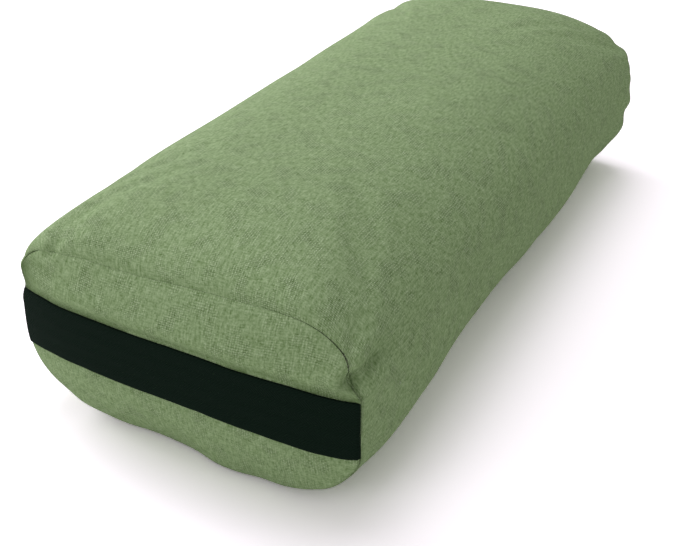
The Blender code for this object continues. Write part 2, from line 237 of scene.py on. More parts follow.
# A plain weave: threads that wander, go over and under each other, and show more clearly in places
def clothMaterial(look):
    made, tree, shader, place = newMaterial(look, "weave")
    split = addNode(tree, "SeparateXYZ", {0: place})
    turns = []
    for axis, pitch, start in ((0, look["acrossPitch"], 0), (1, look["alongPitch"], look["wanderApart"])):
        moved = addNode(tree, "Mapping", {"Vector": place, "Location": (start, start, 0)}).outputs[0]
        wander = centred(tree, grain(tree, moved, 1 / look["wanderSize"], 1), 2 * look["wander"])
        turns.append(times(tree, addUp(tree, split.outputs[axis], wander), math.pi / pitch))
    across, along = (calc(tree, "SINE", turn) for turn in turns)
    crossing = times(tree, across, along)
    over = times(tree, calc(tree, "ABSOLUTE", across), addUp(tree, crossing, 1.0))
    under = times(tree, calc(tree, "ABSOLUTE", along), calc(tree, "SUBTRACT", 1.0, crossing))
    weave = calc(tree, "MAXIMUM", over, under)
    lengthwise = stretched(tree, place, (1 / look["acrossPitch"], 1 / look["slub"], 1))
    crosswise = stretched(tree, place, (1 / look["slub"], 1 / look["alongPitch"], 1))
    threads = addUp(
        tree,
        centred(tree, grain(tree, lengthwise, 1, 1), look["lengthShare"]),
        centred(tree, grain(tree, crosswise, 1, 1), look["crossShare"]),
        centred(tree, grain(tree, place, 1 / look["speckle"], 1), look["speckleShare"]),
    )
    patches = centred(tree, grain(tree, place, look["patchScale"]), look["patchShare"])
    body = times(tree, calc(tree, "SUBTRACT", weave, look["weaveMiddle"]), look["weaveTone"])
    clear = calc(tree, "SUBTRACT", grain(tree, place, 1 / look["clearSize"], 1), look["clearFrom"])
    clear = calc(tree, "MULTIPLY", clear, look["clearRise"], clamp=True)
    woven = times(tree, addUp(tree, body, times(tree, crossing, look["checkTone"])), clear)
    share = calc(tree, "ADD", addUp(tree, threads, patches, woven), look["middle"], clamp=True)
    setColour(tree, shader, look, share)
    setBump(tree, shader, look, addUp(tree, times(tree, woven, look["weaveShare"]), threads))
    return made


canvas = dict(
    name="sageCanvas",
    dark=(0.074, 0.141, 0.027, 1),
    light=(0.455, 0.562, 0.352, 1),
    # the colour that the painted shade darkens the canvas towards
    paintedShadeColour=(0.030, 0.062, 0.006, 1),
    middle=0.48, roughness=0.95, shine=0.03, sheen=0.02, acrossPitch=0.00175, alongPitch=0.00135,
    wander=0.0009, wanderSize=0.012, wanderApart=40, slub=0.0062, speckle=0.0012, clearSize=0.016,
    clearFrom=0.40, clearRise=3.5, lengthShare=0.70, crossShare=0.46, speckleShare=0.60,
    patchShare=0.08, patchScale=14, weaveMiddle=0.85, weaveTone=0.34, checkTone=0.18,
    weaveShare=1.6, bump=0.9, bumpDepth=0.0007,
)
linerCloth = dict(
    canvas,
    name="naturalCotton",
    dark=(0.56, 0.52, 0.42, 1),
    light=(0.84, 0.81, 0.73, 1),
    acrossPitch=0.0007, alongPitch=0.0007, wander=0.0003, bump=0.3,
)


# Webbing, thread and zip tape: slanting ribs or strands, with a fine fuzz
def ribbedMaterial(look, uvMap=""):
    made, tree, shader, place = newMaterial(look, uvMap)
    split = addNode(tree, "SeparateXYZ", {0: place})
    slant = [split.outputs[axis] for axis in look["ribAxes"]]
    if "chevron" in look:
        slant.append(calc(tree, "PINGPONG", split.outputs[look["chevronAxis"]], look["chevron"]))
    ribs = calc(tree, "SINE", times(tree, addUp(tree, *slant), 2 * math.pi / look["ribPitch"]))
    fuzz = grain(tree, stretched(tree, place, look["fuzzScale"]), 1)
    setColour(tree, shader, look, calc(tree, "ADD", times(tree, ribs, look["ribShare"]), fuzz, clamp=True))
    height = addUp(tree, times(tree, ribs, look["ribHeight"]), times(tree, fuzz, look["fuzzHeight"]))
    setBump(tree, shader, look, height)
    return made


webbing = dict(
    name="blackWebbing",
    dark=(0.0030, 0.0078, 0.0050, 1),
    light=(0.0062, 0.0138, 0.0096, 1),
    roughness=0.9, shine=0.03, ribAxes=(0,), ribPitch=0.0022, chevronAxis=1, chevron=0.0058,
    fuzzScale=(500, 1100, 1), ribShare=0.25, ribHeight=0.6, fuzzHeight=1, bump=0.5,
    bumpDepth=0.0004, width=0.0464, thickness=0.0018,
)
thread = dict(
    name="greenThread",
    dark=(0.10, 0.145, 0.065, 1),
    light=(0.24, 0.31, 0.18, 1),
    roughness=0.75, shine=0.3, sheen=0.2, ribAxes=(0, 1, 2), ribPitch=0.0009,
    fuzzScale=(2500, 2500, 2500), ribShare=0.35, ribHeight=1, fuzzHeight=0, bump=0.5,
    bumpDepth=0.0002,
)
zipTape = dict(
    thread,
    name="greenZipTape",
    dark=(0.10, 0.15, 0.07, 1),
    light=(0.22, 0.29, 0.16, 1),
    roughness=0.85, shine=0.25, sheen=0.1, ribAxes=(1,), ribPitch=0.0011, chevronAxis=2,
    chevron=0.0016, fuzzScale=(1400, 1400, 1400), ribShare=0.3, bump=0.45, bumpDepth=0.0003,
)


def nylonMaterial(look):
    made, tree, shader, place = newMaterial(look)
    setColour(tree, shader, look, grain(tree, place, look["toneScale"]))
    setBump(tree, shader, look, grain(tree, place, look["bumpScale"], 1))
    return made


nylon = dict(
    name="greenNylonCoil",
    dark=(0.09, 0.13, 0.06, 1),
    light=(0.17, 0.23, 0.12, 1),
    roughness=0.38, shine=0.5, toneScale=300, bumpScale=1800, bump=0.15, bumpDepth=0.0002,
)


def metalMaterial(look):
    made, tree, shader, place = newMaterial(look)
    tarnish = grain(tree, place, look["tarnishScale"], 3)
    scratches = grain(tree, stretched(tree, place, look["scratchScale"]), 1)
    share = mixedShare(tree, tarnish, scratches, look["tarnishShare"])
    setColour(tree, shader, look, share)
    rough = addUp(tree, times(tree, scratches, look["scratchRough"]), look["roughness"])
    tree.links.new(rough, shader.inputs["Roughness"])
    setBump(tree, shader, look, scratches)
    return made


metal = dict(
    name="darkZipMetal",
    dark=(0.13, 0.13, 0.125, 1),
    light=(0.33, 0.33, 0.315, 1),
    roughness=0.22, scratchRough=0.25, metallic=1, shine=0.5, tarnishScale=260, tarnishShare=0.6,
    scratchScale=(900, 90, 2600), bump=0.12, bumpDepth=0.0001,
)


def battingMaterial(look):
    made, tree, shader, place = newMaterial(look)
    fibres = grain(tree, place, look["fibreScale"], 6, look["fibreRough"])
    clumps = grain(tree, place, look["clumpScale"], 3)
    share = mixedShare(tree, fibres, clumps, look["fibreShare"])
    setColour(tree, shader, look, share)
    setBump(tree, shader, look, share)
    return made


batting = dict(
    name="cottonBatting",
    dark=(0.66, 0.63, 0.55, 1),
    light=(0.90, 0.88, 0.84, 1),
    roughness=1.0, shine=0.1, sheen=0.3, fibreScale=420, fibreRough=0.7, fibreShare=0.6,
    clumpScale=45, bump=0.8, bumpDepth=0.002,
)


def foamMaterial(look):
    made, tree, shader, place = newMaterial(look)
    cells = addNode(tree, "TexVoronoi", {"Vector": place, "Scale": look["cellScale"]}).outputs["Distance"]
    walls = calc(tree, "MULTIPLY", cells, look["cellTone"], clamp=True)
    ageing = grain(tree, place, look["ageScale"], 3)
    setColour(tree, shader, look, mixedShare(tree, walls, ageing, look["cellShare"]))
    setBump(tree, shader, look, cells)
    return made


foam = dict(
    name="coreFoam",
    dark=(0.60, 0.53, 0.30, 1),
    light=(0.84, 0.79, 0.58, 1),
    roughness=0.95, shine=0.2, cellScale=900, cellTone=1.4, cellShare=0.5, ageScale=12, bump=0.5,
    bumpDepth=0.0006,
)

canvasFinish = clothMaterial(canvas)
linerFinish = clothMaterial(linerCloth)
webbingFinish = ribbedMaterial(webbing, "weave")
threadFinish = ribbedMaterial(thread)
tapeFinish = ribbedMaterial(zipTape)
coilFinish = nylonMaterial(nylon)
metalFinish = metalMaterial(metal)
battingFinish = battingMaterial(batting)
foamFinish = foamMaterial(foam)
print("materials made")


# Helpers for the forms

tiny = 0.000001
sameSpot = 0.00001


def mixed(start, end, share):
    return start + (end - start) * share


def easeStep(value):
    value = np.clip(value, 0, 1)
    return value * value * (3 - 2 * value)


def fade(distance, reach):
    return np.exp(-((distance / reach) ** 2))


# A smooth curve through a table of places in metres and moves in millimetres
def drift(table, places):
    knots, moves = np.array(table).T
    slopes = np.gradient(moves, knots)
    index = np.clip(np.searchsorted(knots, places) - 1, 0, len(knots) - 2)
    span = knots[index + 1] - knots[index]
    t = np.clip((places - knots[index]) / span, 0, 1)
    bend = easeStep(t)
    ease = t * (1 - t) * span * (slopes[index] * (1 - t) - slopes[index + 1] * t)
    return (moves[index] * (1 - bend) + moves[index + 1] * bend + ease) / 1000


def weld(bm):
    bmesh.ops.remove_doubles(bm, verts=bm.verts, dist=tiny)


# Cushion form: a body tube and two end panels, as one closed skin that is cut into its panels later

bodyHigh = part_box("cover_body_panel")[1]
frontLow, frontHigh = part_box("cover_front_panel")
sliderLow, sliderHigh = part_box("zipper_slider")
halfWidth, seamY = bodyHigh.x, bodyHigh.y
widest = (sliderLow.z + sliderHigh.z) / 2
cushion = dict(
    crownHeight=bodyHigh.z, endBulge=-frontLow.y - seamY, seamTop=frontHigh.z, seamBottom=frontLow.z,
    floorFlat=0.0005, drawIn=0.002, drawRun=0.0042, crownRun=0.085, squareSeam=(3.2, 3.9),
    squareCrown=(2.7, 3.45), domePower=3, outlineSteps=2401, columns=216, endColumns=72,
    firstCorner=12, step=0.0054, rimStep=0.0011,
    seamRows=[0, 0.0011, 0.0028, 0.0055, 0.0092, 0.0138, 0.019, 0.0248], zipSide=0.9, zipHalfOpening=0.0042,
    zipCut=0.9, zipFlat=0.0160, zipFlatRun=0.012, zipHeld=0.018, zipEndShut=0.0185,
)


def sectionOutline(inset):
    run = min(inset / cushion["crownRun"], 1)
    crown = math.sqrt(1 - (1 - run) ** 2)
    half = halfWidth - cushion["drawIn"] * (1 - min(inset / cushion["drawRun"], 1))
    top = mixed(cushion["seamTop"], cushion["crownHeight"], crown) - widest
    bottom = widest - mixed(cushion["seamBottom"], -cushion["floorFlat"], crown)
    squareTop, squareBottom = (
        mixed(seam, full, crown) for seam, full in zip(cushion["squareSeam"], cushion["squareCrown"])
    )
    angle = np.linspace(math.pi, -math.pi, cushion["outlineSteps"])
    cosine, sine = np.cos(angle), np.sin(angle)
    square = np.where(sine > 0, squareTop, squareBottom)
    x = half * np.sign(cosine) * np.abs(cosine) ** (2 / square)
    z = np.where(sine > 0, top, bottom) * np.sign(sine) * np.abs(sine) ** (2 / square)
    beside = easeStep((np.abs(z) - cushion["zipFlat"]) / cushion["zipFlatRun"])
    x = np.where(x < -cushion["zipSide"] * half, mixed(-half, x, beside), x)
    return x, np.maximum(widest + z, 0)


# Points at equal steps round the section, from the zip's upper edge over the top to its lower edge
def sectionPoints(inset):
    x, z = sectionOutline(inset)
    steps = np.hypot(np.diff(x), np.diff(z))
    reach = np.concatenate([[0], np.cumsum(steps)])
    edge = cushion["zipHalfOpening"]
    stops = np.linspace(edge, reach[-1] - edge, cushion["columns"])
    return np.interp(stops, reach, x), np.interp(stops, reach, z), stops


def rowInsets():
    near = cushion["seamRows"]
    count = round((seamY - near[-1]) / cushion["step"])
    return near + [mixed(near[-1], seamY, (index + 1) / count) for index in range(count)]


def tubePoints():
    half = rowInsets()
    places = [(-seamY + inset, inset) for inset in half]
    places += [(seamY - inset, inset) for inset in half[-2::-1]]
    stops = sectionPoints(seamY)[2]
    points = np.zeros((len(places), cushion["columns"] + 1, 3))
    for row, (y, inset) in enumerate(places):
        x, z, _ = sectionPoints(inset)
        points[row, :-1] = np.column_stack([x, np.full_like(x, y), z])
        points[row, -1] = points[row, 0]
    # The threads follow the rows and columns: u is the way round at the middle, v the way along the cloth
    weave = np.zeros((*points.shape[:2], 2))
    weave[:, :-1, 0] = stops
    weave[:, -1, 0] = stops[-1] + 2 * cushion["zipHalfOpening"]
    reach = np.cumsum(np.linalg.norm(np.diff(points, axis=0), axis=2), axis=0)
    weave[1:, :, 1] = reach
    weave[..., 1] -= weave[len(places) // 2, :, 1]
    return points, weave


def endShare(x, z):
    half = halfWidth - cushion["drawIn"]
    up = z - widest
    square = np.where(up > 0, *cushion["squareSeam"])
    rise = np.where(up > 0, cushion["seamTop"] - widest, widest - cushion["seamBottom"])
    share = (np.abs(x / half) ** square + np.abs(up / rise) ** square) ** (1 / square)
    return np.minimum(share, 1)


# An end panel's points: its rim's four sides, blended across
def endPoints(side):
    x, z, _ = sectionPoints(0)
    ring = np.roll(np.column_stack([x, z]), -cushion["firstCorner"], axis=0)
    ring = np.vstack([ring, ring[:1]])
    across = cushion["endColumns"]
    down = cushion["columns"] // 2 - across
    top = ring[:across + 1]
    right = ring[across:across + down + 1]
    bottom = ring[across + down:2 * across + down + 1][::-1]
    left = ring[2 * across + down:][::-1]
    u = np.linspace(0, 1, across + 1)[None, :, None]
    v = np.linspace(0, 1, down + 1)[:, None, None]
    flat = (1 - v) * top[None] + v * bottom[None] + (1 - u) * left[:, None] + u * right[:, None]
    flat -= (1 - u) * (1 - v) * top[0] + u * (1 - v) * top[-1] + (1 - u) * v * bottom[0] + u * v * bottom[-1]
    bulge = cushion["endBulge"] * (1 - endShare(flat[..., 0], flat[..., 1]) ** cushion["domePower"])
    bulge[0] = bulge[-1] = 0
    bulge[:, 0] = bulge[:, -1] = 0
    points = np.stack([flat[..., 0], side * (seamY + bulge), flat[..., 1]], -1)
    return points, flat


def addSheet(bm, points, weave, tag):
    rows, columns = points.shape[:2]
    start = len(bm.verts)
    bmesh.ops.create_grid(bm, x_segments=columns - 1, y_segments=rows - 1, size=1)
    bm.verts.ensure_lookup_table()
    threads = bm.loops.layers.uv["weave"]
    places, spots = points.reshape(-1, 3), weave.reshape(-1, 2)
    faces = set()
    for index in range(rows * columns):
        vert = bm.verts[start + index]
        vert.co = places[index]
        for loop in vert.link_loops:
            loop[threads].uv = spots[index]
            faces.add(loop.face)
    for face in faces:
        face.material_index = tag


bodyTag, frontTag, rearTag, zipTag = range(4)


def makeForm():
    bm = bmesh.new()
    bm.loops.layers.uv.new("weave")
    points, weave = tubePoints()
    addSheet(bm, points, weave, bodyTag)
    for side, tag in ((-1, frontTag), (1, rearTag)):
        points, weave = endPoints(side)
        addSheet(bm, points, weave, tag)
        end = [face for face in bm.faces if face.material_index == tag]
        bmesh.ops.inset_region(bm, faces=end, thickness=cushion["rimStep"], use_even_offset=True)
    weld(bm)
    bmesh.ops.recalc_face_normals(bm, faces=bm.faces)
    opening = cushion["zipHalfOpening"] * cushion["zipCut"]
    for face in bm.faces:
        middle = face.calc_center_median()
        onSide = middle.x < -cushion["zipSide"] * halfWidth
        between = seamY - abs(middle.y) > cushion["zipEndShut"]
        if onSide and between and abs(middle.z - widest) < opening:
            face.material_index = zipTag
    return meshObject("formSkin", bm)


def readArray(items, name, width, kind=float):
    flat = np.zeros(len(items) * width, kind)
    items.foreach_get(name, flat)
    return flat.reshape(-1, width)


def writePoints(mesh, points):
    mesh.vertices.foreach_set("co", points.astype(np.float32).ravel())
    mesh.update()


skin = makeForm()
restPoints = readArray(skin.data.vertices, "co", 3)
skinEdges = readArray(skin.data.edges, "vertices", 2, int)
onRing = np.abs(np.abs(restPoints[:, 1]) - seamY) < sameSpot
byZip = restPoints[:, 0] < -cushion["zipSide"] * halfWidth
byZip &= np.abs(restPoints[:, 2] - widest) < cushion["zipHeld"]
print("form made:", len(restPoints), "points", len(skin.data.polygons), "faces")


# Unevenness of a sewn and stuffed cover. Each table holds places in metres and moves in millimetres.

# how far the front seam's top runs above its plain line, along x
seamDrift = [
    (-0.1385, 0), (-0.129, 1.2), (-0.114, 1.0), (-0.105, -0.3), (-0.0945, -2.3), (-0.075, -3.3),
    (-0.062, -4.5), (-0.021, -4.7), (0, -3.0), (0.0224, -1.6), (0.045, -0.4), (0.0746, 2.3),
    (0.0914, 4.3), (0.1063, 4.6), (0.119, 2.7), (0.127, 0.9), (0.132, -0.5), (0.1385, 0),
]
# how far the lower right side stands out, along y
sideSwell = [
    (-0.3037, -1.2), (-0.285, 1.4), (-0.26, 4.2), (-0.235, 4.9), (-0.21, 4.2), (-0.185, 3.2),
    (-0.155, 1.2), (-0.125, 0.2), (-0.093, -0.2), (-0.062, -0.6), (-0.025, -0.3), (0.012, 2.0),
    (0.05, 2.8), (0.074, 3.8), (0.13, 3.4), (0.174, 1.2), (0.229, -0.4), (0.285, 2.6), (0.3037, 1.5),
]
# how far the front's lower edge is drawn back, along x
hemDraw = [
    (-0.1385, -1.8), (-0.130, -0.9), (-0.114, 0.6), (-0.095, -1.0), (-0.081, 0.0), (-0.056, 0.9),
    (-0.036, 3.2), (-0.014, 3.0), (0.005, 1.4), (0.025, -2.9), (0.043, -3.3), (0.061, -1.4),
    (0.082, -2.8), (0.096, -2.4), (0.110, 0.2), (0.128, 2.6), (0.1385, 2.4),
]
# gathers beside the rear seam's right side, along z
rearGathers = [
    (0.015, 0), (0.036, 0.2), (0.050, 2.2), (0.066, -0.3), (0.078, 4.3), (0.0915, 1.6), (0.1046, 0.9),
    (0.1154, -3.0), (0.124, 0.4), (0.132, 1.4), (0.1388, -1.2), (0.1456, 0.6), (0.152, 0),
]
# the front seam by its way round, from the zip's side over the top: how deep it sinks between the panels
# and how far it stands open
seamSink = [
    (0, 0.5), (0.026, 0.8), (0.036, 1.3), (0.045, 1.2), (0.052, 0.2), (0.080, 0), (0.110, 0),
    (0.235, 0.1), (0.255, 0.5), (0.272, 0.9), (0.286, 1.0), (0.300, 0.8), (0.312, 0.5), (0.322, 0.3),
    (0.335, 0.2), (0.376, 0.8), (0.400, 0.7), (0.430, 0.3), (0.600, 0.2), (0.732, 0.5),
]
seamOpen = [
    (0, 0.20), (0.012, 0.30), (0.028, 0.40), (0.036, 0.55), (0.045, 0.50), (0.051, 0.03), (0.095, 0.01),
    (0.150, 0.02), (0.240, 0.02), (0.252, 0.13), (0.272, 0.22), (0.286, 0.32), (0.300, 0.45),
    (0.312, 0.28), (0.325, 0.15), (0.370, 0.25), (0.382, 0.25), (0.395, 0.16), (0.410, 0.12),
    (0.440, 0.05), (0.600, 0.05), (0.732, 0.15),
]
# small pulls and swellings: where, how far they reach along x, y and z, and which way they go
pulls = [
    ((0.112, -0.3037, 0.141), (0.022, 0.020, 0.020), (1.3, 0, 0)),
    ((0.1365, -0.3037, 0.1145), (0.018, 0.0080, 0.0082), (-8.2, 0, -3.2)),
    ((0.1360, -0.3037, 0.0470), (0.014, 0.0060, 0.0150), (2.9, 0, 0)),
    ((-0.1385, -0.3037, 0.1030), (0.018, 0.0090, 0.0058), (3.2, 0, 0)),
    ((-0.1345, -0.3037, 0.1150), (0.012, 0.0055, 0.0100), (0.8, 2.0, 0)),
    ((-0.1400, -0.2965, 0.1150), (0.010, 0.0055, 0.0072), (-1.0, -0.8, 0)),
    ((-0.1320, -0.3037, 0.0360), (0.020, 0.0200, 0.0200), (-1.3, 0, -0.5)),
    ((0.113, -0.303, 0.018), (0.014, 0.020, 0.012), (0.4, -1.3, -0.6)),
    ((0.1345, -0.290, 0.040), (0.010, 0.010, 0.012), (-1.5, 0, 0.6)),
    ((-0.124, -0.240, 0.143), (0.030, 0.050, 0.030), (0.8, 0, -0.9)),
    ((-0.120, -0.050, 0.152), (0.035, 0.085, 0.030), (0.9, 0, -1.0)),
    ((-0.137, -0.3037, 0.058), (0.014, 0.020, 0.024), (-2.7, 0, 0)),
    ((0.050, 0.280, 0.165), (0.055, 0.040, 0.030), (0, 0, 1.4)),
    ((0.128, 0.294, 0.133), (0.020, 0.030, 0.018), (-1.3, 0, -1.2)),
    ((0.100, 0.255, 0.162), (0.030, 0.055, 0.030), (0, 0, -1.8)),
]
# creases: the line that the fold's bottom follows, its depth and width
creases = [
    (((0.13, -0.2995, 0.1135), (0.1345, -0.29, 0.1175), (0.1375, -0.279, 0.1185), (0.139, -0.252, 0.115)),
     12.5, 5.0),
    (((-0.1030, -0.3037, 0.1385), (-0.1010, -0.3010, 0.1450), (-0.099, -0.290, 0.152)), 2.8, 3.4),
]
# how far each kind of unevenness reaches, in metres
uneven = dict(
    seamFrom=0.03, seamReach=0.045, seamEnd=0.138, seamLine=0.0002, panelX=[0, 0.09, 0.125, 0.1385],
    panelTop=[0.147, 0.1427, 0.130, 0.097], panelReach=0.030, swellHeight=0.038, swellReach=0.040,
    swellX=0.05, swellRun=0.06, swellWay=(0.79, 0, -0.61), hemHeight=0.026, hemReach=0.040,
    gatherStart=0.010, gatherReach=0.024, gatherRim=0.006, gatherX=0.10, gatherRun=0.012,
    swayScale=13, swayStart=(4, 1, 9), swayEnds=0.05, swayFloor=0.03, sway=0.0010, sinkReach=0.0022,
)
# a crease widens and gets shallower along its line, between two low lips
crease = dict(widen=0.8, lip=0.3, lipPlace=2.1, shallow=1.6)


def pressCrease(points, normals, line, depth, width):
    line = [np.array(point) for point in line]
    spans = [np.linalg.norm(end - start) for start, end in zip(line, line[1:])]
    nearest = np.full(len(points), np.inf)
    along = np.zeros(len(points))
    done = 0.0
    for start, end, span in zip(line, line[1:], spans):
        share = np.clip((points - start) @ (end - start) / span**2, 0, 1)
        gap = np.linalg.norm(points - (start + share[:, None] * (end - start)), axis=1)
        closer = gap < nearest
        nearest = np.where(closer, gap, nearest)
        along = np.where(closer, (done + share * span) / sum(spans), along)
        done += span
    across = nearest / (width / 1000 * (1 + crease["widen"] * along))
    valley = fade(across, 1) - crease["lip"] * fade(across - crease["lipPlace"], 1)
    return points - normals * (depth / 1000 * (1 - along ** crease["shallow"]) * valley)[:, None]


# Each point's way round the front seam, and how far beside the seam it is: below 0 on the front panel
def seamPlaces(points):
    x, z, stops = sectionPoints(0)
    apart = np.hypot(points[:, 0:1] - x, points[:, 2:3] - z)
    beside = points[:, 1] + seamY
    return stops[apart.argmin(axis=1)], np.where(beside < -sameSpot, -apart.min(axis=1), beside)


def sinkSeam(points):
    way, beside = seamPlaces(restPoints)
    out = np.column_stack([restPoints[:, 0], np.zeros(len(points)), restPoints[:, 2] - widest])
    out /= np.maximum(np.linalg.norm(out, axis=1), tiny)[:, None]
    sunk = np.maximum(drift(seamSink, way), 0) * fade(beside, uneven["sinkReach"])
    return points + (np.array([0, 1, 0]) - out) * (sunk / math.sqrt(2))[:, None]


# How far the front seam's top is lifted, less and less away from it on both panels
def seamLift(x, y, z):
    front = y + seamY
    lift = drift(seamDrift, np.clip(x, -uneven["seamEnd"], uneven["seamEnd"]))
    lift = lift * easeStep((z - widest) / uneven["seamFrom"])
    lift = lift * fade(np.maximum(front, 0), uneven["seamReach"])
    below = np.interp(np.abs(x), uneven["panelX"], uneven["panelTop"]) - z
    return lift * np.where(front < uneven["seamLine"], fade(np.maximum(below, 0), uneven["panelReach"]), 1)


def shapeCover(points, normals):
    x, y, z = points.T
    front = np.maximum(y + seamY, 0)
    rear = seamY - y
    points = points.copy()
    points[:, 2] += seamLift(x, y, z)
    stand = drift(sideSwell, y) * fade(z - uneven["swellHeight"], uneven["swellReach"])
    stand = stand * easeStep((x - uneven["swellX"]) / uneven["swellRun"])
    points += stand[:, None] * np.array(uneven["swellWay"])
    points[:, 1] += drift(hemDraw, x) * fade(z, uneven["hemHeight"]) * fade(front, uneven["hemReach"])
    gathered = fade(np.maximum(rear - uneven["gatherStart"], 0), uneven["gatherReach"])
    gathered = gathered * easeStep(rear / uneven["gatherRim"])
    gathered = gathered * easeStep((x - uneven["gatherX"]) / uneven["gatherRun"])
    points += normals * (drift(rearGathers, z) * gathered)[:, None]
    for place, reach, move in pulls:
        near = fade(np.linalg.norm((points - np.array(place)) / np.array(reach), axis=1), 1)
        points += near[:, None] * np.array(move) / 1000
    start = Vector(uneven["swayStart"])
    sway = np.array([noise.noise(Vector(point) * uneven["swayScale"] + start) for point in restPoints])
    calm = easeStep((seamY - np.abs(y)) / uneven["swayEnds"])
    calm = calm * easeStep(z / uneven["swayFloor"]) * (1 - byZip)
    points += normals * (sway * calm * uneven["sway"])[:, None]
    for line, depth, width in creases:
        points = pressCrease(points, normals, line, depth, width)
    return sinkSeam(points)


shaped = shapeCover(restPoints, readArray(skin.data.vertex_normals, "vector", 3))
writePoints(skin.data, shaped)


# Cloth: the seams hold the canvas in while the filling pushes it out, which gathers it beside them

clothRun = dict(
    frames=20, gatherReach=0.050, cap=0.006, share=0.9, farShare=0.55, farFrom=0.08, farRun=0.15,
    smoothRounds=60,
)
clothSettings = dict(
    quality=6, mass=0.25, tension_stiffness=25, compression_stiffness=25, shear_stiffness=12,
    bending_stiffness=1.2, use_pressure=True, uniform_pressure_force=4.0, vertex_group_mass="pins",
    vertex_group_shrink="gathers", shrink_min=0.0, shrink_max=-0.045,
)


def smoothField(field, edges, held, rounds):
    count = len(field)
    ends = np.concatenate([edges[:, 0], edges[:, 1]])
    others = np.concatenate([edges[:, 1], edges[:, 0]])
    degree = np.bincount(ends, minlength=count)
    for _ in range(rounds):
        around = np.column_stack([
            np.bincount(ends, weights=field[others, axis], minlength=count) for axis in range(3)
        ])
        field = 0.5 * field + 0.5 * around / degree[:, None]
        field[held] = 0
    return field


def runCloth():
    held = np.flatnonzero(onRing | byZip)
    pins = skin.vertex_groups.new(name="pins")
    pins.add([int(index) for index in held], 1.0, "REPLACE")
    gathers = skin.vertex_groups.new(name="gathers")
    inset = seamY - np.abs(restPoints[:, 1])
    weights = np.clip(1 - np.abs(inset) / clothRun["gatherReach"], 0, 1)
    for index in np.flatnonzero(weights):
        gathers.add([int(index)], float(weights[index]), "REPLACE")
    cloth = skin.modifiers.new("cloth", "CLOTH")
    for name, value in clothSettings.items():
        setattr(cloth.settings, name, value)
    cloth.settings.effector_weights.gravity = 0
    cloth.collision_settings.use_collision = False
    for number in range(1, clothRun["frames"] + 1):
        scene.frame_set(number)
    graph = bpy.context.evaluated_depsgraph_get()
    moved = readArray(skin.evaluated_get(graph).data.vertices, "co", 3)
    skin.modifiers.remove(cloth)
    skin.vertex_groups.clear()
    scene.frame_set(1)
    shift = moved - shaped
    swell = smoothField(shift, skinEdges, held, clothRun["smoothRounds"])
    far = easeStep((restPoints[:, 1] - clothRun["farFrom"]) / clothRun["farRun"])
    ripple = (shift - swell) * mixed(clothRun["share"], clothRun["farShare"], far)[:, None]
    size = np.linalg.norm(ripple, axis=1)
    print("ripples at most", round(1000 * float(size.max()), 1), "mm")
    ripple *= np.minimum(1, clothRun["cap"] / np.maximum(size, tiny))[:, None]
    return shaped + ripple


shaped = runCloth()
writePoints(skin.data, shaped)
print("cloth settled")


# The handle is pulled flatter than the stuffed panel behind it, so it presses the panel in

handle = dict(
    topEdge=[
        (-0.139, 100.6), (-0.112, 101), (-0.087, 101.6), (-0.065, 102.8), (-0.03, 103.1), (0.028, 103.1),
        (0.06, 102), (0.082, 101.9), (0.104, 100.3), (0.121, 98.7), (0.139, 98.3),
    ],
    lowEdge=[
        (-0.139, 52.3), (-0.11, 54.8), (-0.073, 56.7), (-0.038, 57), (0.024, 57), (0.055, 55.7),
        (0.075, 54.9), (0.094, 53), (0.112, 51.7), (0.128, 51.6), (0.139, 53.2),
    ],
    bulge=0.0135, bulgePower=3, lowRun=0.005, topRun=0.010, pressOver=1.15, roll=0.0030,
    rollPlace=0.0135, rollReach=0.0075, rollPower=6, lift=0.0003, longSteps=150, crossSteps=16,
    endSteps=0.75, halfLength=0.137, endGap=0.0010, waver=0.0004, waverScale=70, waverRow=0.5,
    waverStart=3.7, cup=0.0005, rounding=0.0004, roundingAngle=60, seamSide=0.09, seamLow=0.03,
    seamHigh=0.125, fitRounds=3, tuck=[(0.0005, 0.0004), (0.0008, 0.0014), (0.0009, 0.0034)],
)


# The front seam's left and right ends at each height
def seamEnds(heights):
    ring = shaped[onRing & (restPoints[:, 1] < 0)]
    ends = []
    for side in (-1, 1):
        half = ring[ring[:, 0] * side > handle["seamSide"]]
        half = half[(half[:, 2] > handle["seamLow"]) & (half[:, 2] < handle["seamHigh"])]
        half = half[np.argsort(half[:, 2])]
        ends.append(np.interp(heights, half[:, 2], half[:, 0]))
    return ends


def handleFace(x, left, right):
    share = np.abs(2 * (x - left) / (right - left) - 1)
    return -seamY - handle["bulge"] * (1 - np.minimum(share, 1) ** handle["bulgePower"])


def pressForHandle(points):
    left, right = seamEnds(points[:, 2])
    face = handleFace(points[:, 0], left, right) + handle["lift"]
    high = drift(handle["topEdge"], points[:, 0])
    low = drift(handle["lowEdge"], points[:, 0])
    edge = np.minimum((points[:, 2] - low) / handle["lowRun"], (high - points[:, 2]) / handle["topRun"])
    under = easeStep(edge + handle["pressOver"])
    points = points.copy()
    onFront = restPoints[:, 1] < -seamY - sameSpot
    above = points[:, 2] - high - handle["rollPlace"]
    middle = 1 - np.abs(points[:, 0] / halfWidth) ** handle["rollPower"]
    points[:, 1] -= handle["roll"] * fade(above, handle["rollReach"]) * middle * onFront
    points[:, 1] += np.maximum(face - points[:, 1], 0) * onFront * under
    return points


seamGap = dict(least=0.00002, rear=0.00012)
shaped = pressForHandle(shaped)
shaped[:, 2] = np.maximum(shaped[:, 2], 0)
writePoints(skin.data, shaped)
skinNormals = readArray(skin.data.vertex_normals, "vector", 3)
openings = np.maximum(drift(seamOpen, seamPlaces(restPoints)[0]), seamGap["least"])
openings[restPoints[:, 1] > 0] = seamGap["rear"]


# Painted shade: the front panel's colour is darker beside the handle and at its left corner, where the lamps
# shade it too little

paintedShade = dict(
    aboveHandle=0.50, belowHandle=0.08, reach=0.0074, corner=(-0.1400, 0.1150), cornerShare=0.82,
    cornerReach=(0.0210, 0.0230),
)


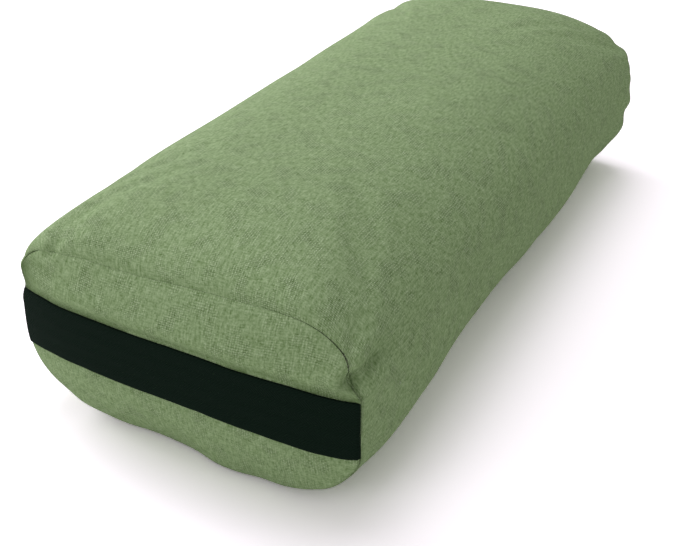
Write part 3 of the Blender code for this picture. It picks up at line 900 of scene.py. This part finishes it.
def paintedShadeShare(points):
    x, _, z = points.T
    above = z - drift(handle["topEdge"], x)
    below = drift(handle["lowEdge"], x) - z
    share = paintedShade["aboveHandle"] * fade(above, paintedShade["reach"]) * (above > 0)
    share += paintedShade["belowHandle"] * fade(below, paintedShade["reach"]) * (below > 0)
    aside, up = ((value - start) / reach for value, start, reach in
                 zip((x, z), paintedShade["corner"], paintedShade["cornerReach"]))
    share = np.maximum(share, paintedShade["cornerShare"] * fade(np.hypot(aside, up), 1))
    return share * (restPoints[:, 1] < -seamY + sameSpot)


paintedShadePoints = paintedShadeShare(shaped)


# Pieces

def pieceFrom(name, bm, finish, node, body="cushion"):
    piece = meshObject(name, bm)
    piece.data.materials.append(finish)
    piece.data.shade_smooth()
    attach(piece, body)
    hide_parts(node)
    return piece


def keepFaces(bm, tags):
    gone = [face for face in bm.faces if face.material_index not in tags]
    bmesh.ops.delete(bm, geom=gone, context="FACES")
    for face in bm.faces:
        face.material_index = 0


# Where cloth and thread go inwards from a seam
def seamInward(place):
    inward = Vector((-place.x, 0, widest - place.z)).normalized()
    return (inward + Vector((0, -math.copysign(1, place.y), 0))).normalized()


panels = dict(allowance=0.006, turn=0.0003, canvas=0.0011, fill=0.95, crispness=0.6)


# A panel of the skin, with its seam allowance turned in
def cutPanel(tags, allowance, shrink=0.0):
    bm = bmesh.new()
    bm.from_mesh(skin.data)
    crispness = bm.edges.layers.float.new("crease_edge")
    # painted shade, carried as a point attribute
    paintedShadeLayer = bm.verts.layers.float.new("paintedShade")
    for vert, share in zip(bm.verts, paintedShadePoints):
        vert[paintedShadeLayer] = share
    if shrink:
        for vert, normal in zip(bm.verts, skinNormals):
            vert.co -= Vector(normal) * shrink
    seamVerts = {vert: opening for vert, ring, opening in zip(bm.verts, onRing, openings) if ring}
    keepFaces(bm, tags)
    seamVerts = {vert: opening for vert, opening in seamVerts.items() if vert.is_valid}
    away = 1 if bodyTag in tags else -1
    rim = [edge for edge in bm.edges if edge.is_boundary and all(vert in seamVerts for vert in edge.verts)]
    for edge in rim:
        edge[crispness] = panels["crispness"]
    for vert, opening in seamVerts.items():
        inward = seamInward(vert.co)
        apart = Vector((-inward.x, inward.y, -inward.z))
        vert.co += apart * opening * away
    for depth in (panels["turn"], allowance - panels["turn"]):
        turned = bmesh.ops.extrude_edge_only(bm, edges=rim)["geom"]
        rim = [item for item in turned if isinstance(item, bmesh.types.BMEdge)]
        for vert in (item for item in turned if isinstance(item, bmesh.types.BMVert)):
            vert.co += seamInward(vert.co) * depth
    return bm


def thicken(piece, thickness, offset=-1):
    wall = piece.modifiers.new("thickness", "SOLIDIFY")
    wall.thickness = thickness
    wall.offset = offset


def roundEdges(piece, width, angle):
    rounding = piece.modifiers.new("edges", "BEVEL")
    rounding.width = width
    rounding.segments = 2
    rounding.limit_method = "ANGLE"
    rounding.angle_limit = math.radians(angle)


def makeCover():
    for name, tags, node in (
        ("coverBodyPanel", (bodyTag,), "cover_body_panel"),
        ("coverFrontPanel", (frontTag,), "cover_front_panel"),
        ("coverRearPanel", (rearTag,), "cover_rear_panel"),
    ):
        piece = pieceFrom(name, cutPanel(tags, panels["allowance"]), canvasFinish, node)
        smooth = piece.modifiers.new("smooth", "SUBSURF")
        smooth.levels = smooth.render_levels = 1
        thicken(piece, panels["canvas"])


makeCover()
print("cover made")


# Handle: webbing that lies on the front panel from seam to seam

def makeHandle():
    columns = handle["longSteps"] + 1
    turn = np.linspace(-0.5, 0.5, columns) * math.pi
    spread = handle["endSteps"] * np.sin(turn) + (1 - handle["endSteps"]) * turn * 2 / math.pi
    inset = webbing["thickness"] + handle["endGap"]
    tuck = np.array(handle["tuck"])
    rows = []
    for row in range(handle["crossSteps"] + 1):
        level = row / handle["crossSteps"]
        across = level * handle["waverRow"]
        x = spread * handle["halfLength"]
        for _ in range(handle["fitRounds"]):
            places = (Vector((place * handle["waverScale"], across, handle["waverStart"])) for place in x)
            waver = [handle["waver"] * noise.noise(place) for place in places]
            z = mixed(drift(handle["lowEdge"], x), drift(handle["topEdge"], x), level) + waver
            left, right = seamEnds(z)
            x = (left + right) / 2 + spread * ((right - left) / 2 - inset)
        y = handleFace(x, left, right)
        cup = handle["cup"] * (2 * level - 1) ** 2
        line = np.column_stack([x, y + cup, z])
        before = np.column_stack([x[0] - tuck[::-1, 0], y[0] + tuck[::-1, 1], np.full(len(tuck), z[0])])
        after = np.column_stack([x[-1] + tuck[:, 0], y[-1] + tuck[:, 1], np.full(len(tuck), z[-1])])
        rows.append(np.vstack([before, line, after]))
    points = np.array(rows)
    weave = np.zeros((*points.shape[:2], 2))
    weave[..., 0] = points[..., 0]
    weave[..., 1] = np.linspace(0, webbing["width"], len(rows))[:, None]
    bm = bmesh.new()
    bm.loops.layers.uv.new("weave")
    addSheet(bm, points, weave, 0)
    bmesh.ops.recalc_face_normals(bm, faces=bm.faces)
    if sum(face.normal.y * face.calc_area() for face in bm.faces) > 0:
        bmesh.ops.reverse_faces(bm, faces=bm.faces)
    piece = pieceFrom("carryHandle", bm, webbingFinish, "carry_handle")
    thicken(piece, webbing["thickness"], offset=1)
    roundEdges(piece, handle["rounding"], handle["roundingAngle"])


makeHandle()
print("handle made")


# Stitches: the seams' are sunk in the groove between the panels, the zip's run beside its coils

stitches = dict(
    length=0.0030, gap=0.0006, radius=0.00035, depth=0.0015, ringHeight=0.075, zipRadius=0.0004,
    zipLength=0.0028, zipDepth=0.0003,
)


def stitchAt(bm, middle, along, length, radius):
    turn = Vector(along).to_track_quat("X", "Z").to_matrix().to_4x4()
    shape = Matrix.Translation(middle) @ turn @ Matrix.Diagonal((length / 2, radius, radius, 1))
    bmesh.ops.create_icosphere(bm, subdivisions=1, radius=1, matrix=shape)


def makeSeamStitches(name, side, node):
    ring = [Vector(point) for point in shaped[onRing & (np.sign(restPoints[:, 1]) == side)]]
    ring.sort(key=lambda point: math.atan2(point.z - stitches["ringHeight"], point.x))
    bm = bmesh.new()
    pitch = stitches["length"] + stitches["gap"]
    carried = 0.0
    for start, end in zip(ring, ring[1:] + ring[:1]):
        span = (end - start).length
        while carried < span:
            middle = start.lerp(end, carried / span)
            middle += seamInward(middle) * stitches["depth"]
            stitchAt(bm, middle, end - start, stitches["length"], stitches["radius"])
            carried += pitch
        carried -= span
    pieceFrom(name, bm, threadFinish, node)


def makeZipStitches(name, node):
    low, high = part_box(node)
    middle = (low + high) / 2
    pitch = stitches["zipLength"] + stitches["gap"]
    bm = bmesh.new()
    for index in range(int((high.y - low.y) / pitch)):
        place = Vector((middle.x + stitches["zipDepth"], low.y + pitch * (index + 0.5), middle.z))
        stitchAt(bm, place, (0, 1, 0), stitches["zipLength"], stitches["zipRadius"])
    pieceFrom(name, bm, threadFinish, node)


makeSeamStitches("frontSeamStitches", -1, "front_seam_thread")
makeSeamStitches("rearSeamStitches", 1, "rear_seam_thread")


# Zip: the two coils' turns mesh across the split between the tapes

coil = dict(pitch=0.0015, wire=0.00031, turnPoints=10, meshing=0.00035)
metalRounding = dict(stop=0.0001, slider=0.00018, pull=0.0002, angle=30, sharp=40, flat=1)


def makeCoil(name, node):
    low, high = (Vector(corner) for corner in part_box(node))
    if low.z > widest:
        low.z = widest - coil["meshing"]
    else:
        high.z = widest + coil["meshing"]
    middle = (low + high) / 2
    points = round((high.y - low.y) / coil["pitch"]) * coil["turnPoints"]
    wide = (high.z - low.z) / 2 - coil["wire"]
    deep = (high.x - low.x) / 2 - coil["wire"]
    curve = bpy.data.curves.new(name, "CURVE")
    curve.dimensions = "3D"
    curve.bevel_depth = coil["wire"]
    curve.bevel_resolution = 1
    curve.use_fill_caps = True
    spline = curve.splines.new("POLY")
    spline.points.add(points)
    for index, point in enumerate(spline.points):
        angle = 2 * math.pi * index / coil["turnPoints"]
        y = low.y + coil["wire"] + (high.y - low.y - 2 * coil["wire"]) * index / points
        point.co = (middle.x - deep * math.cos(angle), y, middle.z + wide * math.sin(angle), 1)
    drawn = addObject(name + "Path", curve)
    graph = bpy.context.evaluated_depsgraph_get()
    bm = bmesh.new()
    bm.from_mesh(bpy.data.meshes.new_from_object(drawn.evaluated_get(graph)))
    bpy.data.objects.remove(drawn)
    weld(bm)
    pieceFrom(name, bm, coilFinish, node)


def makeMetal(name, node, width, body="cushion"):
    bm = bmesh.new()
    bm.from_mesh(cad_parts[node].data)
    weld(bm)
    flat = math.radians(metalRounding["flat"])
    bmesh.ops.dissolve_limit(bm, angle_limit=flat, verts=bm.verts, edges=bm.edges)
    piece = pieceFrom(name, bm, metalFinish, node, body)
    roundEdges(piece, width, metalRounding["angle"])
    piece.data.set_sharp_from_angle(angle=math.radians(metalRounding["sharp"]))


for half in ("Upper", "Lower"):
    makeZipStitches("zipStitches" + half, "zipper_stitch_" + half.lower())
    makeCoil("zipCoil" + half, "zipper_coil_" + half.lower())
    makeMetal("zipTopStop" + half, "zipper_top_stop_" + half.lower(), metalRounding["stop"])
    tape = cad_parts["zipper_tape_" + half.lower()].data
    tape.materials.clear()
    tape.materials.append(tapeFinish)
makeMetal("zipBottomStop", "zipper_bottom_stop", metalRounding["stop"])
makeMetal("zipSlider", "zipper_slider", metalRounding["slider"], "zip_slider")
makeMetal("zipPull", "zipper_pull", metalRounding["pull"], "zip_pull")
print("zip made")


# Liner, batting and core, inside the cover

inner = dict(
    linerDepth=0.0017, liner=0.0006, linerAllowance=0.003, battingFace=0.0027, batting=0.0176,
    battingFill=0.8, fluff=0.0006, fluffScale=140, coreGap=0.0003, coreFill=1.0,
)


def makeLiner():
    for name, tags, node in (
        ("linerBodyPanel", (bodyTag, zipTag), "liner_body_panel"),
        ("linerFrontPanel", (frontTag,), "liner_front_panel"),
        ("linerRearPanel", (rearTag,), "liner_rear_panel"),
    ):
        bm = cutPanel(tags, inner["linerAllowance"], shrink=inner["linerDepth"])
        weld(bm)
        piece = pieceFrom(name, bm, linerFinish, node)
        thicken(piece, inner["liner"])


# The form's points at a plain depth, drawn in towards its middle
def deepPoints(depth):
    middle = np.array([0, 0, widest])
    reach = np.array([halfWidth, seamY + cushion["endBulge"]])
    rel = restPoints - middle
    up = np.where(rel[:, 2] > 0, cushion["crownHeight"] - widest, widest)
    rel[:, :2] *= 1 - depth / reach
    rel[:, 2] *= 1 - depth / up
    return middle + rel


def makePad(name, tags, node):
    face = shaped - skinNormals * inner["battingFace"]
    back = deepPoints(inner["battingFace"] + inner["batting"])
    bm = bmesh.new()
    bm.from_mesh(skin.data)
    layer = bm.verts.layers.int.new("number")
    for index, vert in enumerate(bm.verts):
        vert[layer] = index
    keepFaces(bm, tags)
    copied = bmesh.ops.duplicate(bm, geom=bm.verts[:] + bm.edges[:] + bm.faces[:])["geom"]
    copiedFaces = [item for item in copied if isinstance(item, bmesh.types.BMFace)]
    copiedVerts = {item for item in copied if isinstance(item, bmesh.types.BMVert)}
    for vert in bm.verts:
        if vert in copiedVerts:
            vert.co = back[vert[layer]]
        else:
            vert.co = face[vert[layer]]
            vert.co += vert.co.normalized() * inner["fluff"] * noise.noise(vert.co * inner["fluffScale"])
    bmesh.ops.reverse_faces(bm, faces=copiedFaces)
    rims = [edge for edge in bm.edges if edge.is_boundary]
    if bodyTag in tags:
        for side in (-1, 1):
            bmesh.ops.bridge_loops(bm, edges=[edge for edge in rims if edge.verts[0].co.y * side > 0])
    else:
        bmesh.ops.bridge_loops(bm, edges=rims)
    bmesh.ops.recalc_face_normals(bm, faces=bm.faces)
    piece = pieceFrom(name, bm, battingFinish, node)


def makeCore():
    bm = bmesh.new()
    bm.from_mesh(skin.data)
    places = deepPoints(inner["battingFace"] + inner["batting"] + inner["coreGap"])
    for vert, place in zip(bm.verts, places):
        vert.co = place
    for face in bm.faces:
        face.material_index = 0
    piece = pieceFrom("foamCore", bm, foamFinish, "foam_core")


makeLiner()
makePad("battingWrap", (bodyTag, zipTag), "batting_wrap")
makePad("battingFrontPad", (frontTag,), "batting_front_pad")
makePad("battingRearPad", (rearTag,), "batting_rear_pad")
makeCore()
bpy.data.objects.remove(skin)
print("filling made")
